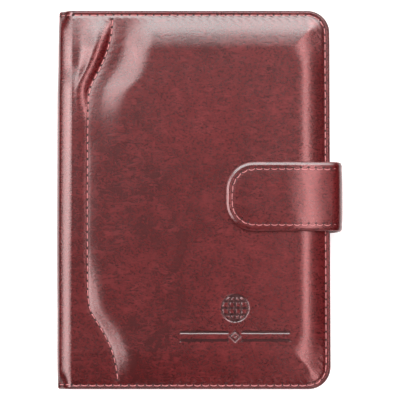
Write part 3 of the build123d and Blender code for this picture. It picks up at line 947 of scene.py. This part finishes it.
def strap_relief(inset):
    """Height of the strap's face beside its flat line: a soft crown, pressed along the sewing."""
    crown = STRAP_CROWN * swell((inset - STRAP_ROW_IN) / 6.0)
    bevel = BEVEL_DROP * clamp01((FLAP_EDGE + STRAP_BEVEL - inset) / STRAP_BEVEL)
    return crown - STRAP_DENT * bell(inset - STRAP_ROW_IN, 0.7) - bevel


def flap_face(x, y):
    points = np.stack([x, y, np.zeros_like(x)], -1)
    return strap_line(x) - STRAP_SINK + strap_relief(FLAP.inset(x, y)) + 0.05 * field(points, 9.0, 8, 2)


def flap_under(x, y):
    return strap_line(x) - STRAP_T


strap_grid = 0.8 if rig.quick() else 0.4
strap_levels = FLAP.levels(strap_grid)
flap_len = STRAP_FOLD_X - FLAP_LO[0] - FLAP_EDGE
flap_shares = refined(np.linspace(0, 1, int(flap_len / strap_grid) + 2),
                      1 - 1.4 / flap_len, 1 - 0.05 / flap_len, 0.2 / flap_len)
flap_skin = panel("strap_flap_skin", FLAP, flap_face, flap_under, STRAP_LEATHER, strap_grid,
                  levels=strap_levels, shares=flap_shares,
                  edge_material=STRAP_EDGE, under_material=PANEL_LEATHER)
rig.ride(flap_skin, "strap_flap")
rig.replaces(flap_skin, "strap_flap_leather", "strap_flap_lining", "strap_magnet")
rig.slot(flap_skin, "strap_leather")


def bend_line(count=22):
    """Side view of the strap round the fore-edge: places and outward directions."""
    reach, middle = BEND_HI[0] - STRAP_FOLD_X, STRAP_FOLD_Z / 2
    turn = np.linspace(0, math.pi / 2, count)
    upper = np.column_stack([reach * np.sin(turn) ** 0.7, middle + middle * np.cos(turn) ** 0.7])
    upper[:, 1] -= FOLD_LEAN * upper[:, 0] * (1 - (upper[:, 0] / reach) ** 2)
    lower = hermite(upper[-1], np.array((0.0, 0.0)), np.array((0, -11.0)), np.array((-8.5, 0)),
                    np.linspace(0, 1, count))[1:]
    line = np.concatenate([upper, lower])
    step = np.gradient(line, axis=0)
    out = np.stack([-step[:, 1], step[:, 0]], -1)
    out /= np.linalg.norm(out, axis=1, keepdims=True)
    out[0], out[-1] = (0, 1), (0, -1)
    line[:, 0] += STRAP_FOLD_X
    return line, out


def make_bend():
    line, out = bend_line()
    inset = STRAP_HALF - np.abs(strap_levels - STRAP_Y)
    relief = strap_relief(inset) - STRAP_SINK
    edge = [(outward * FLAP.edge, down) for outward, down in EDGE_PROFILE]
    rows = []
    for k, (place, away) in enumerate(zip(line, out)):
        along = k / (len(line) - 1)
        thick = STRAP_T - STRAP_THINNER * ease((along - 0.6) / 0.4)
        high = relief * (1 - ease((along - 0.75) / 0.25))
        y = np.concatenate([strap_levels, [strap_levels[-1] + o for o, _ in edge], strap_levels[::-1],
                            [strap_levels[0] - o for o, _ in reversed(edge)]])
        side = [high[-1] + (-thick - high[-1]) * d for _, d in edge]
        h = np.concatenate([high, side, np.full(len(strap_levels), -thick), side[::-1]])
        rows.append(np.stack([place[0] + away[0] * h, y, place[1] + away[1] * h], -1))
    verts = np.stack(rows)
    count, top_count, edge_count = verts.shape[1], len(strap_levels), len(EDGE_PROFILE)
    ring_slots = []
    for c in range(count):
        on_under = top_count + edge_count <= c < 2 * top_count + edge_count - 1
        ring_slots.append(0 if c < top_count - 1 else 2 if on_under else 1)
    faces = tube_faces(len(rows), count) + end_faces(len(rows), count)
    slots = ring_slots * (len(rows) - 1) + [1, 1]
    obj = make_object("strap_bend_skin", verts.reshape(-1, 3), faces, STRAP_LEATHER,
                      slots=[STRAP_EDGE, PANEL_LEATHER], face_slots=slots)
    fix_normals(obj)
    return obj


bend_skin = make_bend()
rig.ride(bend_skin, "strap_bend")
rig.replaces(bend_skin, "strap_bend_leather", "strap_bend_lining")
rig.slot(bend_skin, "strap_leather")
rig.squash(bend_skin, "strap_base_fold", axis=(1, 0, 0), anchor=STRAP_ANCHOR, keep=SQUASH_KEEP)


def tail_face(x, y):
    return 0.02 + 0.12 * bell(TAIL.inset(x, y) - STRAP_ROW_IN, 0.6)


tail_skin = panel("strap_tail_skin", TAIL, tail_face, flat(TAIL_HI[2]), STRAP_LEATHER, 2 * strap_grid,
                  edge_material=STRAP_EDGE)
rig.ride(tail_skin, "back_cover")
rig.replaces(tail_skin, "strap_tail")
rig.slot(tail_skin, "strap_leather")


# Sewing ----------------------------------------------------
THREAD_DIVE = 0.12       # how deep a thread's ends go into their holes
# Radius of the painted-shade cone drawn at each needle hole.
HOLE_SHADE_R = 0.5
HOLE_SHIFT = 0.7         # a needle hole lies off the row by this share of the threads' bow


def resample(points, pitch=STITCH_PITCH):
    """Places an even pitch apart along a dense line of points."""
    points = np.asarray(points, float)
    step = np.linalg.norm(np.diff(points, axis=0), axis=1)
    run = np.concatenate([[0], np.cumsum(step)])
    count = max(2, int(round(run[-1] / pitch)) + 1)
    at = np.linspace(0, run[-1], count)
    return np.stack([np.interp(at, run, points[:, k]) for k in range(points.shape[1])], -1)


def sew(name, points, outward, body, node, bow=(0.0, 0.0, 0.0), squash=None, lift=0.15, radius=0.18,
        reach=0.40):
    """One row of lock-stitches, each a thread that rises from one needle hole to the next.

    bow moves the threads' middles sideways. reach is half a thread's share of the pitch.
    """
    bow = np.broadcast_to(np.asarray(bow, float), (len(points), 3))
    verts, faces, slots = [], [], []
    sections, sides = 9, 7
    for k in range(len(points) - 1):
        a, b = points[k], points[k + 1]
        up = (outward[k] + outward[k + 1]) / 2
        along = b - a
        length = np.linalg.norm(along)
        along = along / length
        up = up - along * (up @ along)
        up /= np.linalg.norm(up)
        across = np.cross(along, up)
        slip = Vector((RNG.uniform(-0.05, 0.05), RNG.uniform(-0.04, 0.04), 0))
        base = len(verts)
        for r in range(sections):
            t = r / (sections - 1)
            arch = math.sin(math.pi * t) ** 0.7
            thin = radius * (0.62 + 0.38 * arch)
            centre = a + along * length * (0.5 - reach + 2 * reach * t)
            centre = centre + up * (lift * arch - THREAD_DIVE * (1 - arch))
            centre = centre + ((bow[k] + bow[k + 1]) / 2 + across * slip.x) * arch
            for q in range(sides):
                turn = 2 * math.pi * q / sides
                twist = 1 + 0.1 * math.sin(2 * turn + 9 * t)
                verts.append(centre + (across * math.cos(turn) + up * 0.85 * math.sin(turn)) * thin * twist)
        faces += tube_faces(sections, sides, base)
        faces += [tuple(base + q for q in range(sides))[::-1],
                  tuple(base + (sections - 1) * sides + q for q in range(sides))]
        slots += [0] * ((sections - 1) * sides + 2)
    # At each needle hole, a small near-black cone raised just off the face: painted shade for the hole, not a real
    # opening.
    for k, (place, up) in enumerate(zip(points, outward)):
        up = up / np.linalg.norm(up)
        near = points[min(k + 1, len(points) - 1)] - points[max(k - 1, 0)]
        along = near / np.linalg.norm(near)
        across = np.cross(along, up)
        base, around = len(verts), 10
        for wide, high in ((HOLE_SHADE_R, 0.0), (0.8 * HOLE_SHADE_R, 0.06), (0.0, 0.08)):
            for q in range(around if wide else 1):
                turn = 2 * math.pi * q / around
                verts.append(place - bow[k] * HOLE_SHIFT + up * high
                             + (along * math.cos(turn) + across * 0.85 * math.sin(turn)) * wide)
        for q in range(around):
            n = (q + 1) % around
            faces.append((base + q, base + n, base + around + n, base + around + q))
            faces.append((base + around + q, base + around + n, base + 2 * around))
        slots += [1] * (2 * around)
    obj = make_object(name, np.array(verts), faces, THREAD, sharp=60, slots=[HOLE_SHADE], face_slots=slots)
    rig.ride(obj, body)
    if node:
        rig.replaces(obj, *([node] if isinstance(node, str) else node))
    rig.slot(obj, "thread")
    if squash:
        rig.squash(obj, *squash[0], **squash[1])
    return obj


def on_face(points, height, sign=1.0):
    """Lifts flat places onto a face, and gives its outward direction at each."""
    x, y = points[:, 0], points[:, 1]
    step = 0.3
    z = height(x, y)
    slope_x = (height(x + step, y) - height(x - step, y)) / (2 * step)
    slope_y = (height(x, y + step) - height(x, y - step)) / (2 * step)
    out = np.stack([-slope_x, -slope_y, np.ones_like(z)], -1) * sign
    return np.column_stack([x, y, z]), out / np.linalg.norm(out, axis=1, keepdims=True)


def round_row(outline, inset, start_x, arc_steps=24):
    """Dense line along three sides of an outline, inset from its edge."""
    corner = max(outline.corner - inset, 0.3)
    far = outline.end - outline.side * inset - outline.side * corner
    straight = outline.half - inset - corner
    turn = np.linspace(0, math.pi / 2, arc_steps)
    upper = np.column_stack([far + outline.side * corner * np.sin(turn),
                             outline.middle + straight + corner * np.cos(turn)])
    lower = np.column_stack([upper[::-1, 0], 2 * outline.middle - upper[::-1, 1]])
    ends = [np.array([[start_x, outline.middle + outline.half - inset]]),
            np.array([[start_x, outline.middle - outline.half + inset]])]
    return np.concatenate([ends[0], upper, lower, ends[1]])


edge_row = resample(round_row(COVER, STITCH_IN, HINGE_X + 0.4))
points, out = on_face(edge_row, front_height)
row_bow = np.zeros_like(points)
row_bow[:, 1] = -0.14 - 0.34 * ease((-points[:, 1] - 55) / 10)
sew("front_edge_thread", points, out, "front_cover", "front_edge_stitching", bow=row_bow, reach=0.46)
points, out = on_face(edge_row, back_height, -1.0)
sew("back_edge_thread", points, out, "back_cover", "back_edge_stitching")

seam_y = np.linspace(EDGE_Y - STITCH_IN - 1.6, -EDGE_Y + STITCH_IN + 1.6, 500)
seam_row = resample(np.column_stack([seam_x(seam_y), seam_y]))
points, out = on_face(seam_row, front_height)
sew("front_seam_thread", points, out, "front_cover", "front_seam_stitching", bow=(0.12, -0.05, 0), lift=0.14)

flap_row = resample(round_row(FLAP, STRAP_ROW_IN, STRAP_FOLD_X - 0.2), STRAP_PITCH)
points, out = on_face(flap_row, flap_face)
sew("strap_flap_thread", points, out, "strap_flap", "strap_flap_stitching", bow=(0, -0.5, 0), radius=0.17,
    reach=0.47)

tail_row = resample(round_row(TAIL, STRAP_ROW_IN, FORE_X - 0.6), STRAP_PITCH)
points, out = on_face(tail_row, tail_face, -1.0)
points[:, 2] += 0.16
sew("strap_tail_thread", points, out, "back_cover", "strap_tail_stitching", lift=0.06)

bend_places, bend_out = bend_line(60)
rows, outs = [], []
for side in (1, -1):
    line = resample(bend_places, STRAP_PITCH)
    away = np.stack([np.interp(line[:, 1], bend_places[::-1, 1], bend_out[::-1, k]) for k in (0, 1)], -1)
    y = np.full(len(line), STRAP_Y + side * (STRAP_HALF - STRAP_ROW_IN))
    rows.append(np.column_stack([line[:, 0] - away[:, 0] * 0.3, y, line[:, 1] - away[:, 1] * 0.3]))
    outs.append(np.column_stack([away[:, 0], np.zeros(len(line)), away[:, 1]]))
bend_squash = (("strap_base_fold",), {"axis": (1, 0, 0), "anchor": STRAP_ANCHOR, "keep": SQUASH_KEEP})
sew("strap_bend_thread_head", rows[0], outs[0], "strap_bend", "strap_bend_stitching", squash=bend_squash)
sew("strap_bend_thread_foot", rows[1], outs[1], "strap_bend", None, squash=bend_squash)

spine_squash = (("spine_fold",), {"axis": (1, 0, 0), "anchor": SPINE_ANCHOR, "keep": SQUASH_KEEP})
fall = float(hinge_drop(np.array([EDGE_Y - STITCH_IN]))[0])
turns = np.linspace(math.pi / 2, -math.pi / 2, 200)
lift_z, reach_x = bow(TOP_Z / 2 - fall, SPINE_REACH - SPINE_PULL * fall, turns, SPINE_SAG)
arc = resample(np.column_stack([HINGE_X - reach_x, TOP_Z / 2 + lift_z]))
away = np.column_stack([arc[:, 0] - HINGE_X, arc[:, 1] - TOP_Z / 2])
away /= np.linalg.norm(away, axis=1, keepdims=True)
for side, word in ((1, "head"), (-1, "foot")):
    y = np.full(len(arc), side * (EDGE_Y - STITCH_IN))
    sew("spine_thread_" + word, np.column_stack([arc[:, 0], y, arc[:, 1]]),
        np.column_stack([away[:, 0], np.zeros(len(arc)), away[:, 1]]), "spine",
        "spine_stitching" if side > 0 else None, squash=spine_squash)


# Inside ----------------------------------------------------
PANEL_ROW_IN = 1.4
PANEL_CORNER_R = CORNER_R - 0.6
THUMB_NOTCH_R = 9.0
GUSSET_T = 0.3


def inner_panel(name, node, body, material, slot, sign, top_y=None, notch=0.0, closed_fold=True):
    """A thin panel lying on the inner side; sign is the way its face looks."""
    low, high = box_mm(node)
    half = max(high[1], -low[1])
    outline = Outline(low[0], high[0], half, PANEL_CORNER_R, 0.2)
    outline.notch = notch
    levels = outline.levels(1.2)
    if top_y is not None:
        levels = np.append(levels[levels < top_y - 0.9], [top_y - 0.8, top_y - 0.5, top_y - 0.2])
    if notch:
        levels = refined(levels, -notch, notch, 0.5)
    face_z, under_z = (high[2], low[2]) if sign > 0 else (low[2], high[2])

    def face(x, y):
        relief = -0.12 * bell(outline.inset(x, y) - PANEL_ROW_IN, 0.5)
        if top_y is not None:
            relief = relief - 0.10 * bell(top_y - y - 2.2, 0.5)
        if notch:
            away = np.minimum(np.hypot(x - low[0], y) - notch, x - low[0] + 0.0 * y)
            relief = relief - 0.10 * bell(away - 1.8, 0.5) * (np.abs(y) < half)
        return face_z + sign * relief

    obj = panel(name, outline, face, flat(under_z), material, 1.0, closed_fold=closed_fold, levels=levels)
    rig.ride(obj, body)
    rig.replaces(obj, node)
    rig.slot(obj, slot)
    if material is LINING:
        width, length = high[0] - low[0], high[1] - low[1]
        corners = (2 - math.pi / 2) * PANEL_CORNER_R**2
        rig.sheet(obj, flat=(width * MM, length * MM), held="stretched", rests_on=[body + "_leather"],
                 area=(width * length - corners) * MM * MM)
    return outline


inner_panel("front_lining_cloth", "front_lining", "front_cover", LINING, "lining", -1)
inner_panel("back_lining_cloth", "back_lining", "back_cover", LINING, "lining", 1)


def hinge_gusset(name, cover, lining_z, way):
    """Strip of leather that bridges the fold inside, from a cover's lining to the spine's."""
    x = HINGE_X + np.array([3.4, 2.4, 1.6, 1.15, 0.95, 0.9, 0.9])
    z = lining_z + way * np.array([0.08, 0.08, 0.10, 0.25, 0.6, 1.1, 1.7])
    out = np.array([(0, 1), (0, 1), (0.3, 0.95), (0.7, 0.7), (0.95, 0.3), (1, 0), (1, 0)])
    levels = np.linspace(-EDGE_Y + 1.2, EDGE_Y - 1.2, 90)
    ring_x = np.concatenate([x, (x - GUSSET_T * out[:, 0])[::-1]])
    ring_z = np.concatenate([z, (z - way * GUSSET_T * out[:, 1])[::-1]])
    verts = np.concatenate([np.stack([ring_x, np.full_like(ring_x, y), ring_z], -1) for y in levels])
    count = len(ring_x)
    faces = tube_faces(len(levels), count) + end_faces(len(levels), count)
    obj = make_object(name, verts, faces, PANEL_LEATHER)
    fix_normals(obj)
    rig.blend(obj, cover, "spine", start=((HINGE_X + 1.6) * MM, 0, (lining_z + way * 0.1) * MM),
             end=((HINGE_X + 0.9) * MM, 0, (lining_z + way * 1.1) * MM))
    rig.slot(obj, "panel_leather")


hinge_gusset("front_hinge_gusset", "front_cover", box_mm("front_lining")[0][2], -1)
hinge_gusset("back_hinge_gusset", "back_cover", box_mm("back_lining")[1][2], 1)

SLOTS = ("upper", "middle", "lower")
for word in SLOTS:
    node = "card_slot_" + word
    slot_outline = inner_panel(node + "_panel", node, "back_cover", PANEL_LEATHER, "panel_leather", 1,
                               top_y=box_mm(node)[1][1])
sleeve_outline = inner_panel("passport_sleeve_panel", "passport_sleeve", "front_cover", PANEL_LEATHER,
                             "panel_leather", -1, notch=THUMB_NOTCH_R)


def slots_height(x, y):
    """Top of the stack of card slot panels."""
    height = np.full_like(y, box_mm("card_slot_upper")[1][2])
    for word in SLOTS[1:]:
        low, high = box_mm("card_slot_" + word)
        height = np.where(y < high[1], high[2], height)
    return height - 0.06


row_top = box_mm("card_slot_upper")[1][1] - 1.0
row_start = slot_outline.fold + PANEL_ROW_IN
row = round_row(slot_outline, PANEL_ROW_IN, row_start)[::-1][:-1]
row = np.concatenate([[[row_start, row_top]], row[row[:, 1] < row_top]])
row = resample(np.concatenate([row, [[row[-1, 0], row_top]]]))
sew("card_slot_thread", np.column_stack([row, slots_height(row[:, 0], row[:, 1])]),
    np.tile((0.0, 0.0, 1.0), (len(row), 1)), "back_cover", "card_slot_stitching", lift=0.12)

row = resample(round_row(sleeve_outline, PANEL_ROW_IN, sleeve_outline.fold + 1.2))
sleeve_z = box_mm("passport_sleeve")[0][2] + 0.06
sew("passport_sleeve_thread", np.column_stack([row, np.full(len(row), sleeve_z)]),
    np.tile((0.0, 0.0, -1.0), (len(row), 1)), "front_cover", "passport_sleeve_stitching", lift=0.12)

low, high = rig.bounds()
json.dump({"cad": [list(cad_box[0]), list(cad_box[1])], "visual": [list(low), list(high)]},
          open("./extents.json", "w"))
